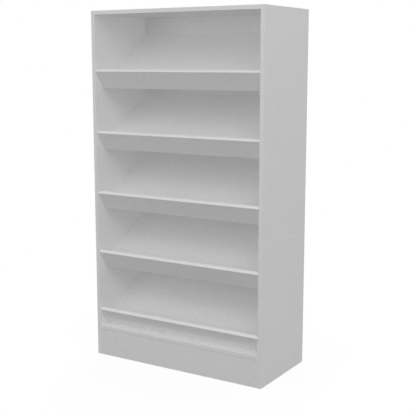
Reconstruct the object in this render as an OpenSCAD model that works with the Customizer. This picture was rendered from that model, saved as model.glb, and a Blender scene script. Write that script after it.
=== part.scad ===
// Magazine display rack for a library or a school: an open cabinet of melamine faced boards
// with five sloping shelves, each closed at its low front end by a lip that stops the magazines.
// The rack stands on the edges of its sides and plinths, with four levelling feet inside them.
// Origin: middle of the footprint, on the floor. +X is the right-hand side, the open front is -Y.

/* [Rack] */
// Overall width
rack_w = 1100; // [900:10:1300]
// Overall depth
rack_d = 510; // [470:5:560]
// Overall height
rack_h = 2000; // [1700:10:2300]
// Thickness of every carcass board, shelf and lip
board = 22; // [19:1:25]
// Height of the two plinths, up to the underside of the base board
plinth_h = 155; // [130:5:185]

/* [Shelves and lips] */
// Rise of the shelves towards the back, in degrees
slope = 33.5; // [28:0.5:37]
// Room from the lowest corner of the top lip up to the top board
top_room = 408; // [370:1:450]
// Height of a lip, measured square to the shelf, from the shelf's underside
lip_h = 114; // [90:1:140]
// How far the top edge of a lip stays behind the front of the rack
lip_setback = 4; // [2:1:20]
// Gap between the lowest corner of the bottom lip and the base board
heel_gap = 0.2; // [0.1:0.1:8]

/* [Back panel] */
// Thickness of the back panel
back_t = 10; // [6:1:16]
// How far the back panel lies in front of the rear edges
back_recess = 8; // [5:1:25]
// Depth of the groove that holds the back panel
groove_depth = 8; // [5:1:10]

/* [Edge bands] */
// Thickness of the glued edge bands
band = 1; // [0.5:0.5:2]

/* [Cam fastenings] */
// Diameter of a cam lock
cam_d = 15; // [12:1:18]
// Depth of a cam lock below the middle of its board
cam_below_middle = 5; // [4.5:0.5:6]
// Distance from a board's end to the middle of the cam lock
cam_reach = 34; // [28:1:44]
// Diameter of a cam bolt's shank
bolt_d = 6; // [5:0.5:6.5]
// Diameter of a cam bolt's neck, behind its round head
neck_d = 4; // [3:0.5:4.5]
// Diameter of a cam bolt's round head
head_d = 6.6; // [6:0.1:7]
// Diameter of a cam bolt's thread
thread_d = 5; // [4:0.5:6]
// Length of a cam bolt's thread, in the side
thread_l = 11; // [8:1:14]
// Diameter of the collar that stops a cam bolt at the side
bolt_collar_d = 7.6; // [7.2:0.1:8.6]
// Length of that collar
bolt_collar_l = 2.5; // [1.5:0.5:4]
// Width of the cross slot in a cam lock's face
slot_w = 1.4; // [1:0.1:2]
// Length of each arm of the cross slot, from end to end
slot_l = 8; // [6:0.5:9]
// Depth of the cross slot
slot_depth = 1.5; // [1:0.1:2]
// Distance from a board's long edge to its nearest cam bolt
cam_from_edge = 60; // [45:1:90]

/* [Dowels and screws] */
// Diameter of the wooden dowels
dowel_d = 8; // [6:1:10]
// Length of the wooden dowels
dowel_l = 30; // [26:1:36]
// Depth of a dowel in the face of the board that it enters
dowel_in_face = 12; // [9:1:14]
// Distance from a cam bolt to the dowel beside it
dowel_step = 32; // [24:1:40]
// Number of dowels between a lip and its shelf
lip_dowels_per_shelf = 6; // [4:1:8]
// Distance from the sides to the first dowel of a lip or a plinth
dowel_inset = 90; // [70:5:140]
// Height of the dowel in each end of a lip, above the shelf's underside
lip_end_dowel_h = 68; // [50:1:74]
// Number of dowels between a plinth and the base board
plinth_dowels_per_board = 4; // [3:1:6]
// Diameter of the chipboard screws
screw_d = 3.5; // [3:0.5:4]
// Diameter of a chipboard screw's head
screw_head_d = 7; // [6:0.5:8]
// Height of a chipboard screw's head
screw_head_h = 2; // [1.5:0.5:2.5]
// Length of the screws through the back panel, with their heads
back_screw_l = 25; // [22:1:28]
// Number of screws through the back panel into each shelf
back_screws_per_shelf = 3; // [2:1:5]
// Distance from the sides to the first screw through the back panel
back_screw_inset = 150; // [100:10:200]
// Height of a back screw above the lowest edge of its shelf
back_screw_rise = 9; // [7:0.5:10]

/* [Levelling feet] */
// Travel of a levelling foot, from fully turned in
foot_travel = 15; // [5:1:25]
// Diameter of a foot's threaded stem
stem_d = 10; // [8:1:12]
// Diameter of a foot's pad
pad_d = 40; // [30:1:44]
// Height of a foot's pad
pad_h = 9; // [7:1:12]
// Height of the pad's straight rim
pad_rim_h = 5; // [3:0.5:6]
// Diameter of the pad's upper end
pad_top_d = 22; // [20:1:28]
// Thickness of the pad under its pin
pad_floor_t = 2; // [1.5:0.5:4]
// Diameter of the pin that turns in the pad
pin_d = 8; // [6:0.5:9]
// Width of the six-sided spanner collar across its flats
collar_w = 17; // [14:1:19]
// Height of the spanner collar
collar_h = 8; // [5:1:10]
// Distance from a plinth to the axis of the foot beside it
foot_inset = 40; // [36:1:70]
// Distance from a side to the axis of the foot beside it
foot_reach = 25; // [23:1:35]
// Thickness of a foot socket's screw plate
plate_t = 5; // [4:0.5:8]
// Width of a foot socket's screw plate
plate_w = 64; // [60:1:76]
// Height of a foot socket
socket_h = 60; // [45:1:70]
// Diameter of the boss round a foot's stem
boss_d = 26; // [24:1:30]
// Gap round the stem above the bush
stem_gap = 0.5; // [0.3:0.1:1]
// Diameter of the threaded bush in a foot socket
bush_d = 16; // [15:1:19]
// Length of the threaded bush
bush_l = 20; // [14:1:25]
// Length of the screws that hold a foot socket
socket_screw_l = 18; // [16:1:20]
// Distance from the edges of a screw plate to its screws
plate_screw_inset = 9; // [7:0.5:10]

/* [Clearances] */
// Gap round a part that is pressed or screwed into a bore
fit = 0.1; // [0.05:0.05:0.15]
// Gap between a shelf or a lip and the boards that its ends are set against
cut_gap = 0.1; // [0.05:0.05:0.3]
// Gap between a foot at rest and its socket
seat_gap = 0.3; // [0.2:0.1:1]

/* [Hidden] */
$fn = 48;

// Shelves are counted from the floor up
tiers = [1, 2, 3, 4, 5];
// Length by which a cutter runs past the face that it opens
over = 1;
// Depth that a drilled hole keeps free beyond the end of its fastener
spare = 1;

// Places of the main boards
inner_w = rack_w - 2 * board;
front_y = -rack_d / 2;
rear_y = rack_d / 2;
core_front_y = front_y + band;
core_rear_y = rear_y - band;
back_y = rear_y - back_recess - back_t;
base_top = plinth_h + board;
top_under = rack_h - board;
plinth_front_in_y = core_front_y + board;
plinth_rear_in_y = rear_y - board;

// The heel is the lowest edge of a lip; a shelf and its lip share a frame that starts there
heel_y = front_y + lip_setback + lip_h * sin(slope);
shelf_w = inner_w - 2 * cut_gap;
run_under = (back_y - cut_gap - heel_y) / cos(slope);
run_over = run_under + board * tan(slope);
run_middle = (run_under + run_over) / 2;
shelf_cam_runs = [board + cam_from_edge, run_middle - cam_from_edge];
shelf_dowel_runs = [board + cam_from_edge + dowel_step, run_middle - cam_from_edge - dowel_step];

// Places of the fastenings
cam_depth = board / 2 + cam_below_middle;
bolt_bore_d = bolt_collar_d + 2 * fit;
plinth_cam_z = plinth_h / 2;
plinth_dowel_z = plinth_cam_z + dowel_step;
dowel_in_end = dowel_l - dowel_in_face;

// Places of the feet
foot_x = inner_w / 2 - foot_reach;
foot_front_y = plinth_front_in_y + foot_inset;
foot_rear_y = plinth_rear_in_y - foot_inset;
socket_z = pad_h + collar_h + seat_gap;

// The shelves are spaced evenly between the base board and the room under the top board
shelf_pitch = (top_under - top_room - base_top - heel_gap) / (len(tiers) - 1);

function heel_z(tier) = base_top + heel_gap + (tier - 1) * shelf_pitch;
function spread(count, inset) =
    [for (k = [0:count - 1]) -inner_w / 2 + inset + k * (inner_w - 2 * inset) / (count - 1)];

// Placing

module both_ends() {
    children();
    mirror([1, 0, 0]) children();
}

// Frame of one shelf and its lip: Y runs up the slope from the heel, Z is square to the shelf
module on_slope(tier) {
    translate([0, heel_y, heel_z(tier)]) rotate([slope, 0, 0]) children();
}

module on_all_slopes() {
    for (tier = tiers) on_slope(tier) children();
}

// The end of a board at the right-hand side: X points into the side, Z to the face with the cam
module shelf_end(run) {
    translate([inner_w / 2, run, board / 2]) rotate([180, 0, 0]) children();
}

module shelf_cam_places() {
    for (run = shelf_cam_runs) shelf_end(run) children();
}

module shelf_dowel_places() {
    for (run = shelf_dowel_runs) shelf_end(run) children();
}

module lip_end_place() {
    translate([inner_w / 2, board / 2, lip_end_dowel_h]) children();
}

module top_places(from_edge) {
    for (y = [front_y + from_edge, rear_y - from_edge])
        translate([inner_w / 2, y, rack_h - board / 2]) children();
}

module base_places(from_edge) {
    for (y = [front_y + from_edge, rear_y - from_edge])
        translate([inner_w / 2, y, base_top - board / 2]) rotate([180, 0, 0]) children();
}

module plinth_front_place(z) {
    translate([inner_w / 2, plinth_front_in_y - board / 2, z]) rotate([-90, 0, 0]) children();
}

module plinth_rear_place(z) {
    translate([inner_w / 2, plinth_rear_in_y + board / 2, z]) rotate([90, 0, 0]) children();
}

module cam_places() {
    on_all_slopes() shelf_cam_places() children();
    top_places(cam_from_edge) children();
    base_places(cam_from_edge) children();
    plinth_front_place(plinth_cam_z) children();
    plinth_rear_place(plinth_cam_z) children();
}

module carcass_end_dowel_places() {
    top_places(cam_from_edge + dowel_step) children();
    base_places(cam_from_edge + dowel_step) children();
    plinth_front_place(plinth_dowel_z) children();
    plinth_rear_place(plinth_dowel_z) children();
}

// Upright dowels between one plinth and the base board: Z points up from the joint
module plinth_top_places(middle_y) {
    for (x = spread(plinth_dowels_per_board, dowel_inset)) translate([x, middle_y, plinth_h]) children();
}

// Dowels between a lip and its shelf, in the frame of the shelf: Z points up the slope
module lip_dowel_places() {
    for (x = spread(lip_dowels_per_shelf, dowel_inset))
        translate([x, board, board / 2]) rotate([-90, 0, 0]) children();
}

// Screws through the back panel into one shelf: Z points forwards from the panel's rear face
module back_screw_places(tier) {
    for (x = spread(back_screws_per_shelf, back_screw_inset))
        translate([x, back_y + back_t, heel_z(tier) + run_under * sin(slope) + back_screw_rise])
            rotate([90, 0, 0]) children();
}

// The axis of a right-hand foot, at the floor
module foot_places() {
    for (y = [foot_front_y, foot_rear_y]) translate([foot_x, y, 0]) children();
}

// Screws of one socket, from the axis of its foot: Z points into the side
module plate_screw_places() {
    for (y = [-1, 1])
        for (z = [socket_z + plate_screw_inset, socket_z + socket_h - plate_screw_inset])
            translate([foot_reach - plate_t, y * (plate_w / 2 - plate_screw_inset), z])
                rotate([0, 90, 0]) children();
}

// Cutters

module lying_bore(d, from_x, to_x) {
    translate([from_x, 0, 0]) rotate([0, 90, 0]) cylinder(d = d, h = to_x - from_x);
}

module cam_cuts() {
    translate([-cam_reach, 0, board / 2 - cam_depth]) cylinder(d = cam_d + 2 * fit, h = cam_depth + over);
    lying_bore(bolt_bore_d, -cam_reach, over);
}

module thread_bore() {
    lying_bore(thread_d + 2 * fit, -over, thread_l + spare);
}

module dowel_end_bore() {
    lying_bore(dowel_d + 2 * fit, -dowel_in_end - spare, over);
}

module dowel_face_bore() {
    lying_bore(dowel_d + 2 * fit, -over, dowel_in_face + spare);
}

module upright_dowel_bore(depth, towards) {
    low = towards > 0 ? -over : -depth - spare;
    translate([0, 0, low]) cylinder(d = dowel_d + 2 * fit, h = depth + spare + over);
}

module plate_screw_bore() {
    translate([0, 0, -over]) cylinder(d = screw_d + 2 * fit, h = over + socket_screw_l + spare - screw_head_h);
}

module back_screw_cuts() {
    translate([0, 0, -over]) cylinder(d = screw_d + 2 * fit, h = over + back_screw_l + spare);
    countersunk_head(fit);
}

module countersunk_head(gap) {
    cylinder(d1 = screw_head_d + 2 * gap, d2 = screw_d + 2 * gap, h = screw_head_h);
}

// Boards

module side_panel() {
    color("gainsboro") difference() {
        translate([inner_w / 2, core_front_y, 0])
            cube([board, core_rear_y - core_front_y, rack_h - band]);
        cam_places() thread_bore();
        carcass_end_dowel_places() dowel_face_bore();
        on_all_slopes() shelf_dowel_places() dowel_face_bore();
        on_all_slopes() lip_end_place() dowel_face_bore();
        foot_places() plate_screw_places() plate_screw_bore();
        back_groove();
    }
}

// Groove for the back panel in the right-hand side, the base board and the top board
module back_groove() {
    translate([-inner_w / 2 - over, back_y - fit, base_top - groove_depth])
        cube([inner_w + over + groove_depth, back_t + 2 * fit, top_under - base_top + 2 * groove_depth]);
}

module side_right() {
    side_panel();
}

module side_left() {
    mirror([1, 0, 0]) side_panel();
}

module top_board() {
    color("gainsboro") difference() {
        translate([-inner_w / 2, core_front_y, top_under]) cube([inner_w, core_rear_y - core_front_y, board]);
        both_ends() top_places(cam_from_edge) cam_cuts();
        both_ends() top_places(cam_from_edge + dowel_step) dowel_end_bore();
        both_ends() back_groove();
    }
}

module base_board() {
    color("gainsboro") difference() {
        translate([-inner_w / 2, core_front_y, plinth_h]) cube([inner_w, rear_y - core_front_y, board]);
        both_ends() base_places(cam_from_edge) cam_cuts();
        both_ends() base_places(cam_from_edge + dowel_step) dowel_end_bore();
        for (y = [plinth_front_in_y - board / 2, plinth_rear_in_y + board / 2])
            plinth_top_places(y) upright_dowel_bore(dowel_in_face, 1);
        both_ends() back_groove();
    }
}

module plinth_board(low_y) {
    translate([-inner_w / 2, low_y, 0]) cube([inner_w, board, plinth_h]);
}

module plinth_front() {
    color("gainsboro") difference() {
        plinth_board(core_front_y);
        both_ends() plinth_front_place(plinth_cam_z) cam_cuts();
        both_ends() plinth_front_place(plinth_dowel_z) dowel_end_bore();
        plinth_top_places(plinth_front_in_y - board / 2) upright_dowel_bore(dowel_in_end, -1);
    }
}

module plinth_rear() {
    color("gainsboro") difference() {
        plinth_board(plinth_rear_in_y);
        both_ends() plinth_rear_place(plinth_cam_z) cam_cuts();
        both_ends() plinth_rear_place(plinth_dowel_z) dowel_end_bore();
        plinth_top_places(plinth_rear_in_y + board / 2) upright_dowel_bore(dowel_in_end, -1);
    }
}

module back_panel() {
    tongue = groove_depth - fit;
    color("whitesmoke") difference() {
        translate([-inner_w / 2 - tongue, back_y, base_top - tongue])
            cube([inner_w + 2 * tongue, back_t, top_under - base_top + 2 * tongue]);
        for (tier = tiers) back_screw_places(tier) back_screw_cuts();
    }
}

// The rear end of a shelf is cut upright, to lie along the back panel
module shelf(tier) {
    color("gainsboro") difference() {
        on_slope(tier) translate([-shelf_w / 2, 0, 0]) rotate([90, 0, 90]) linear_extrude(shelf_w)
            polygon([[board, 0], [run_under, 0], [run_over, board], [board, board]]);
        on_slope(tier) both_ends() shelf_cam_places() cam_cuts();
        on_slope(tier) both_ends() shelf_dowel_places() dowel_end_bore();
        on_slope(tier) lip_dowel_places() upright_dowel_bore(dowel_in_end, 1);
        back_screw_places(tier) back_screw_cuts();
    }
}

module lip(tier) {
    color("gainsboro") on_slope(tier) difference() {
        translate([-shelf_w / 2, 0, band]) cube([shelf_w, board, lip_h - 2 * band]);
        both_ends() lip_end_place() dowel_end_bore();
        lip_dowel_places() upright_dowel_bore(dowel_in_face, -1);
    }
}

// Edge bands

module side_bands() {
    color("white") translate([inner_w / 2, 0, 0]) {
        translate([0, front_y, 0]) cube([board, band, rack_h]);
        translate([0, core_rear_y, 0]) cube([board, band, rack_h]);
        translate([0, core_front_y + fit, rack_h - band])
            cube([board, core_rear_y - core_front_y - 2 * fit, band]);
    }
}

module edge_bands_right_side() {
    side_bands();
}

module edge_bands_left_side() {
    mirror([1, 0, 0]) side_bands();
}

module edge_bands_top_board() {
    color("white") for (y = [front_y, core_rear_y])
        translate([-inner_w / 2, y, top_under]) cube([inner_w, band, board]);
}

module edge_band_base_board() {
    color("white") translate([-inner_w / 2, front_y, plinth_h]) cube([inner_w, band, board]);
}

module edge_bands_lips() {
    color("white") on_all_slopes() for (z = [0, lip_h - band])
        translate([-shelf_w / 2, 0, z]) cube([shelf_w, board, band]);
}

// Fastenings

// A round housing, open towards the board's end for the neck, with a pocket for the round head
module cam_lock() {
    translate([-cam_reach, 0, 0]) difference() {
        translate([0, 0, board / 2 - cam_depth + fit]) cylinder(d = cam_d, h = cam_depth - 2 * fit);
        translate([0, 0, -head_d / 2 - fit]) cylinder(d = head_d + 2 * fit, h = head_d + 2 * fit);
        translate([0, -neck_d / 2 - fit, -neck_d / 2 - fit]) cube([cam_d, neck_d + 2 * fit, neck_d + 2 * fit]);
        for (turn = [45, 135])
            translate([0, 0, board / 2 - slot_depth]) rotate([0, 0, turn])
                translate([-slot_l / 2, -slot_w / 2, 0]) cube([slot_l, slot_w, slot_depth + over]);
    }
}

module cam_bolt() {
    neck_end = -cam_reach + cam_d / 2 + 2 * fit;
    lying_bore(thread_d, 0, thread_l);
    lying_bore(bolt_collar_d, -bolt_collar_l, 0);
    lying_bore(bolt_d, neck_end, -bolt_collar_l);
    lying_bore(neck_d, -cam_reach, neck_end);
    translate([-cam_reach, 0, 0]) sphere(d = head_d);
}

module cam_locks() {
    color("darkgray") both_ends() cam_places() cam_lock();
}

module cam_bolts() {
    color("silver") both_ends() cam_places() cam_bolt();
}

module end_dowel() {
    lying_bore(dowel_d, -dowel_in_end, dowel_in_face);
}

module carcass_dowels() {
    color("burlywood") {
        both_ends() carcass_end_dowel_places() end_dowel();
        for (y = [plinth_front_in_y - board / 2, plinth_rear_in_y + board / 2])
            plinth_top_places(y) translate([0, 0, -dowel_in_end]) cylinder(d = dowel_d, h = dowel_l);
    }
}

module shelf_dowels() {
    color("burlywood") on_all_slopes() both_ends() shelf_dowel_places() end_dowel();
}

module lip_dowels() {
    color("burlywood") on_all_slopes() {
        both_ends() lip_end_place() end_dowel();
        lip_dowel_places() translate([0, 0, -dowel_in_face]) cylinder(d = dowel_d, h = dowel_l);
    }
}

module back_screws() {
    color("silver") for (tier = tiers) back_screw_places(tier) {
        countersunk_head(0);
        translate([0, 0, screw_head_h]) cylinder(d = screw_d, h = back_screw_l - screw_head_h);
    }
}

// Levelling feet

module foot_socket() {
    difference() {
        union() {
            translate([foot_reach - plate_t, -plate_w / 2, socket_z]) cube([plate_t, plate_w, socket_h]);
            translate([0, -boss_d / 2, socket_z]) cube([foot_reach - plate_t, boss_d, socket_h]);
            translate([0, 0, socket_z]) cylinder(d = boss_d, h = socket_h);
        }
        translate([0, 0, socket_z - over]) cylinder(d = stem_d + 2 * stem_gap, h = socket_h + 2 * over);
        translate([0, 0, socket_z - over]) cylinder(d = bush_d + 2 * fit, h = bush_l + over);
        plate_screw_places() plate_screw_bore();
    }
}

module foot_sockets() {
    color("dimgray") both_ends() foot_places() foot_socket();
}

module foot_bushes() {
    color("silver") both_ends() foot_places() translate([0, 0, socket_z]) difference() {
        cylinder(d = bush_d, h = bush_l);
        translate([0, 0, -over]) cylinder(d = stem_d + 2 * fit, h = bush_l + 2 * over);
    }
}

module socket_screws() {
    color("silver") both_ends() foot_places() plate_screw_places() {
        translate([0, 0, -screw_head_h]) cylinder(d = screw_head_d, h = screw_head_h);
        cylinder(d = screw_d, h = socket_screw_l - screw_head_h);
    }
}

// side is -1 at the left and 1 at the right, end is the foot's distance from the middle of the rack
module foot_stem(side, y) {
    color("silver") translate([side * foot_x, y, 0]) {
        translate([0, 0, pad_floor_t + fit]) cylinder(d = pin_d, h = pad_h - pad_floor_t - fit);
        translate([0, 0, pad_h]) cylinder(d = collar_w / cos(30), h = collar_h, $fn = 6);
        translate([0, 0, pad_h + collar_h]) cylinder(d = stem_d, h = seat_gap + socket_h);
    }
}

module foot_pad(side, y) {
    color("dimgray") translate([side * foot_x, y, 0]) difference() {
        union() {
            cylinder(d = pad_d, h = pad_rim_h);
            translate([0, 0, pad_rim_h]) cylinder(d1 = pad_d, d2 = pad_top_d, h = pad_h - pad_rim_h);
        }
        translate([0, 0, pad_floor_t]) cylinder(d = pin_d + 2 * fit, h = pad_h);
    }
}

side_left();
side_right();
top_board();
base_board();
plinth_front();
plinth_rear();
back_panel();
shelf(1);  // shelf_1
shelf(2);  // shelf_2
shelf(3);  // shelf_3
shelf(4);  // shelf_4
shelf(5);  // shelf_5
lip(1);  // lip_1
lip(2);  // lip_2
lip(3);  // lip_3
lip(4);  // lip_4
lip(5);  // lip_5
edge_bands_left_side();
edge_bands_right_side();
edge_bands_top_board();
edge_band_base_board();
edge_bands_lips();
cam_locks();
cam_bolts();
carcass_dowels();
shelf_dowels();
lip_dowels();
back_screws();
foot_sockets();
foot_bushes();
socket_screws();
foot_stem(-1, foot_front_y);  // foot_stem_front_left
foot_stem(1, foot_front_y);  // foot_stem_front_right
foot_stem(-1, foot_rear_y);  // foot_stem_rear_left
foot_stem(1, foot_rear_y);  // foot_stem_rear_right
foot_pad(-1, foot_front_y);  // foot_pad_front_left
foot_pad(1, foot_front_y);  // foot_pad_front_right
foot_pad(-1, foot_rear_y);  // foot_pad_rear_left
foot_pad(1, foot_rear_y);  // foot_pad_rear_right
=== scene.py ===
import math

import bmesh
import bpy
from mathutils import Matrix, Vector


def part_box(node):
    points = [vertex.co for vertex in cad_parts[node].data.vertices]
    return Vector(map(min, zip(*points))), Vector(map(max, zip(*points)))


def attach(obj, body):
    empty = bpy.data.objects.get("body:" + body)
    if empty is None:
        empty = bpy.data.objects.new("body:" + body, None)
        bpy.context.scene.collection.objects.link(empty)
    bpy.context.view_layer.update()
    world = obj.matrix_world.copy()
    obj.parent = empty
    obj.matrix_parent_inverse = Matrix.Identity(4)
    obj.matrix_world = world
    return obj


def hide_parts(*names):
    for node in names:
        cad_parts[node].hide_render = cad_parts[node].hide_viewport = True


bl_info = {
    "name": "Magazine display rack",
    "version": (1, 0, 0),
    "blender": (4, 5, 0),
    "location": "3D View > Sidebar > Rack",
    "description": "Faces the boards of a rack with sloping shelves and adds its bands, fittings and feet",
    "category": "Object",
}

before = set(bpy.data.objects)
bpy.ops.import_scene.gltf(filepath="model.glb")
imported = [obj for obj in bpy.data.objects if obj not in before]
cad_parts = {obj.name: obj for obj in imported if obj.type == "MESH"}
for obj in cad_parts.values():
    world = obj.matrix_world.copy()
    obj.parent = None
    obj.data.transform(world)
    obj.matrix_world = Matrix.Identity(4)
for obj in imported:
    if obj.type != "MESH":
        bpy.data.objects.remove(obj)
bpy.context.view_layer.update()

# Everything below is in metres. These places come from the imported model.
side_low, side_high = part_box("side_right")
base_low, base_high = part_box("base_board")
bands_low, bands_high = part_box("edge_bands_right_side")
lip_low, lip_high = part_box("lip_1")
socket_low, socket_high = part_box("foot_sockets")

TIERS = (1, 2, 3, 4, 5)
CORNERS = ("front_left", "front_right", "rear_left", "rear_right")
BOARD = side_high.x - side_low.x
BAND = side_low.y - bands_low.y
HALF_INNER = side_low.x
HALF_SHELF = lip_high.x
FRONT_Y = bands_low.y
REAR_Y = bands_high.y
SHELF_REAR_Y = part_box("shelf_1")[1].y
BACK_FACE_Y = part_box("back_panel")[1].y
PLINTH_MIDDLES_Y = [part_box(plinth)[0].y + BOARD / 2 for plinth in ("plinth_front", "plinth_rear")]
TOP_Z = bands_high.z
BASE_TOP = base_high.z
PLINTH_H = base_low.z
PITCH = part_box("lip_2")[0].z - lip_low.z
SOCKET_Z = socket_low.z
SOCKET_TOP = socket_high.z

ALONG_X = Matrix.Rotation(math.pi / 2, 4, "Y")
MIRROR_X = Matrix.Scale(-1, 4, (1, 0, 0))
MIRROR_Y = Matrix.Scale(-1, 4, (0, 1, 0))

# How far a cutter reaches past the face that it cuts through
PAST = 0.001
# Share of a thread's pitch that its ridge takes up
RIDGE = 0.8


def length(name, description, default):
    return bpy.props.FloatProperty(
        name=name, description=description, default=default, unit="LENGTH", precision=4)


def number(name, description, default):
    return bpy.props.FloatProperty(name=name, description=description, default=default)


def watts(name, description, default):
    return number(name, description + ", in watts", default)


def count(name, description, default):
    return bpy.props.IntProperty(name=name, description=description, default=default, min=2)


def angle(name, description, degrees):
    return bpy.props.FloatProperty(
        name=name, description=description, default=math.radians(degrees), subtype="ANGLE")


class RackShelfSizes(bpy.types.PropertyGroup):
    slope: angle("Slope", "Rise of the shelves towards the back", 33.5)
    band_rounding: length("Band rounding", "Radius of the long outer edges of the glued bands", 0.0004)
    # The dark joint line is a thin strip of painted shadow, not a separate part of the rack.
    joint: length("Joint", "Height of the dark joint line under the base board's band", 0.0006)
    joint_depth: length("Joint depth", "Depth of that line behind the face of the band", 0.0003)


class RackCamSizes(bpy.types.PropertyGroup):
    lock_d: length("Lock diameter", "Diameter of a cam lock", 0.015)
    below_middle: length("Lock depth", "Depth of a cam lock below the middle of its board", 0.005)
    reach: length("Reach", "Distance from a board's end to the middle of its cam lock", 0.034)
    from_edge: length("Distance from the edge", "Distance from a board's long edge to a cam bolt", 0.060)
    rim: length("Rim", "Width of the raised rim round a lock's face", 0.0012)
    slot_w: length("Slot width", "Width of the cross slot in a lock's face", 0.0014)
    slot_l: length("Slot length", "Length of each arm of the cross slot, from end to end", 0.008)
    slot_depth: length("Slot depth", "Depth of the cross slot", 0.0018)
    bolt_d: length("Bolt diameter", "Diameter of a cam bolt's shank", 0.006)
    neck_d: length("Neck diameter", "Diameter of a cam bolt's neck, behind its round head", 0.004)
    head_d: length("Head diameter", "Diameter of a cam bolt's round head", 0.0066)
    collar_d: length("Collar diameter", "Diameter of the collar that stops a cam bolt at the side", 0.0076)
    collar_l: length("Collar length", "Length of that collar", 0.0025)
    thread_d: length("Thread diameter", "Diameter of a cam bolt's thread", 0.005)
    thread_l: length("Thread length", "Length of a cam bolt's thread, in the side", 0.011)
    thread_pitch: length("Thread pitch", "Rise of that thread in one turn", 0.002)


class RackDowelSizes(bpy.types.PropertyGroup):
    diameter: length("Diameter", "Diameter of the dowels", 0.008)
    total: length("Length", "Length of the dowels", 0.030)
    in_face: length("Depth in a face", "Depth of a dowel in the face of the board that it enters", 0.012)
    flute: length("Flute depth", "Depth of the glue flutes along a dowel", 0.00025)
    chamfer: length("Chamfer", "Length of the chamfer at each end of a dowel", 0.001)
    from_cam: length("Distance from the cam", "Distance from a cam bolt to the dowel beside it", 0.032)
    inset: length("Inset", "Distance from the sides to the first dowel of a lip or a plinth", 0.090)
    lip_end_height: length("Height in a lip", "Height of the dowel in each end of a lip", 0.068)
    per_lip: count("Dowels in a lip", "Number of dowels between a lip and its shelf", 6)
    per_plinth: count("Dowels in a plinth", "Number of dowels between a plinth and the base board", 4)


class RackScrewSizes(bpy.types.PropertyGroup):
    diameter: length("Diameter", "Diameter of the chipboard screws' thread", 0.0035)
    core_d: length("Core diameter", "Diameter of the screws between the threads", 0.0024)
    pitch: length("Pitch", "Rise of the thread in one turn", 0.0016)
    head_d: length("Head diameter", "Diameter of a screw's head", 0.007)
    head_h: length("Head height", "Height of a screw's head", 0.002)
    recess: length("Recess", "Depth of the cross recess in a head", 0.0012)
    back_length: length("Back screw length", "Length of the screws through the back panel", 0.025)
    per_shelf: count("Screws in a shelf", "Number of screws through the back panel into each shelf", 3)
    back_inset: length("Back screw inset", "Distance from the sides to the first back screw", 0.150)
    back_rise: length("Back screw rise", "Height of a back screw above the lowest edge of its shelf", 0.009)
    plate_length: length("Plate screw length", "Length of the screws that hold a foot socket", 0.018)
    plate_inset: length("Plate screw inset", "Distance from the edges of a screw plate to its screws", 0.009)


class RackFootSizes(bpy.types.PropertyGroup):
    stem_d: length("Stem diameter", "Diameter of a foot's threaded stem", 0.010)
    stem_core_d: length("Stem core", "Diameter of the stem between its threads", 0.0084)
    pitch: length("Pitch", "Rise of the stem's thread in one turn", 0.0015)
    collar_w: length("Collar width", "Width of the six-sided spanner collar across its flats", 0.017)
    collar_h: length("Collar height", "Height of the spanner collar", 0.008)
    pin_d: length("Pin diameter", "Diameter of the pin that turns in the pad", 0.008)
    pad_floor: length("Pad floor", "Thickness of the pad under its pin", 0.002)
    pad_rim_h: length("Pad rim", "Height of the pad's straight rim", 0.005)
    pad_top_d: length("Pad top", "Diameter of the pad's upper end", 0.022)
    plate_t: length("Plate thickness", "Thickness of a foot socket's screw plate", 0.005)
    boss_d: length("Boss diameter", "Diameter of the boss round a foot's stem", 0.026)
    stem_gap: length("Stem gap", "Gap round the stem above the bush", 0.0005)
    bush_d: length("Bush diameter", "Diameter of the threaded bush in a foot socket", 0.016)
    bush_l: length("Bush length", "Length of the threaded bush", 0.020)
    fit: length("Fit", "Gap round a part that is pressed or screwed into a bore", 0.0001)


class RackFinish(bpy.types.PropertyGroup):
    melamine: bpy.props.FloatVectorProperty(
        name="Melamine", description="Colour of the boards' faces", default=(0.74, 0.742, 0.744), size=3,
        subtype="COLOR")
    melamine_roughness: bpy.props.FloatProperty(
        name="Melamine roughness", description="Roughness of the boards' faces", default=0.5,
        subtype="FACTOR")
    grain: length("Pearl grain", "Size of the fine grain printed on the melamine", 0.0016)
    speckle: length("Speckle", "Size of the soft speckles in the melamine", 0.006)
    speckle_depth: number("Speckle depth", "How far the speckles are darker and paler than the melamine", 0.3)
    chip: length("Chip size", "Size of the wood chips in a raw board edge", 0.0022)


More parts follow.
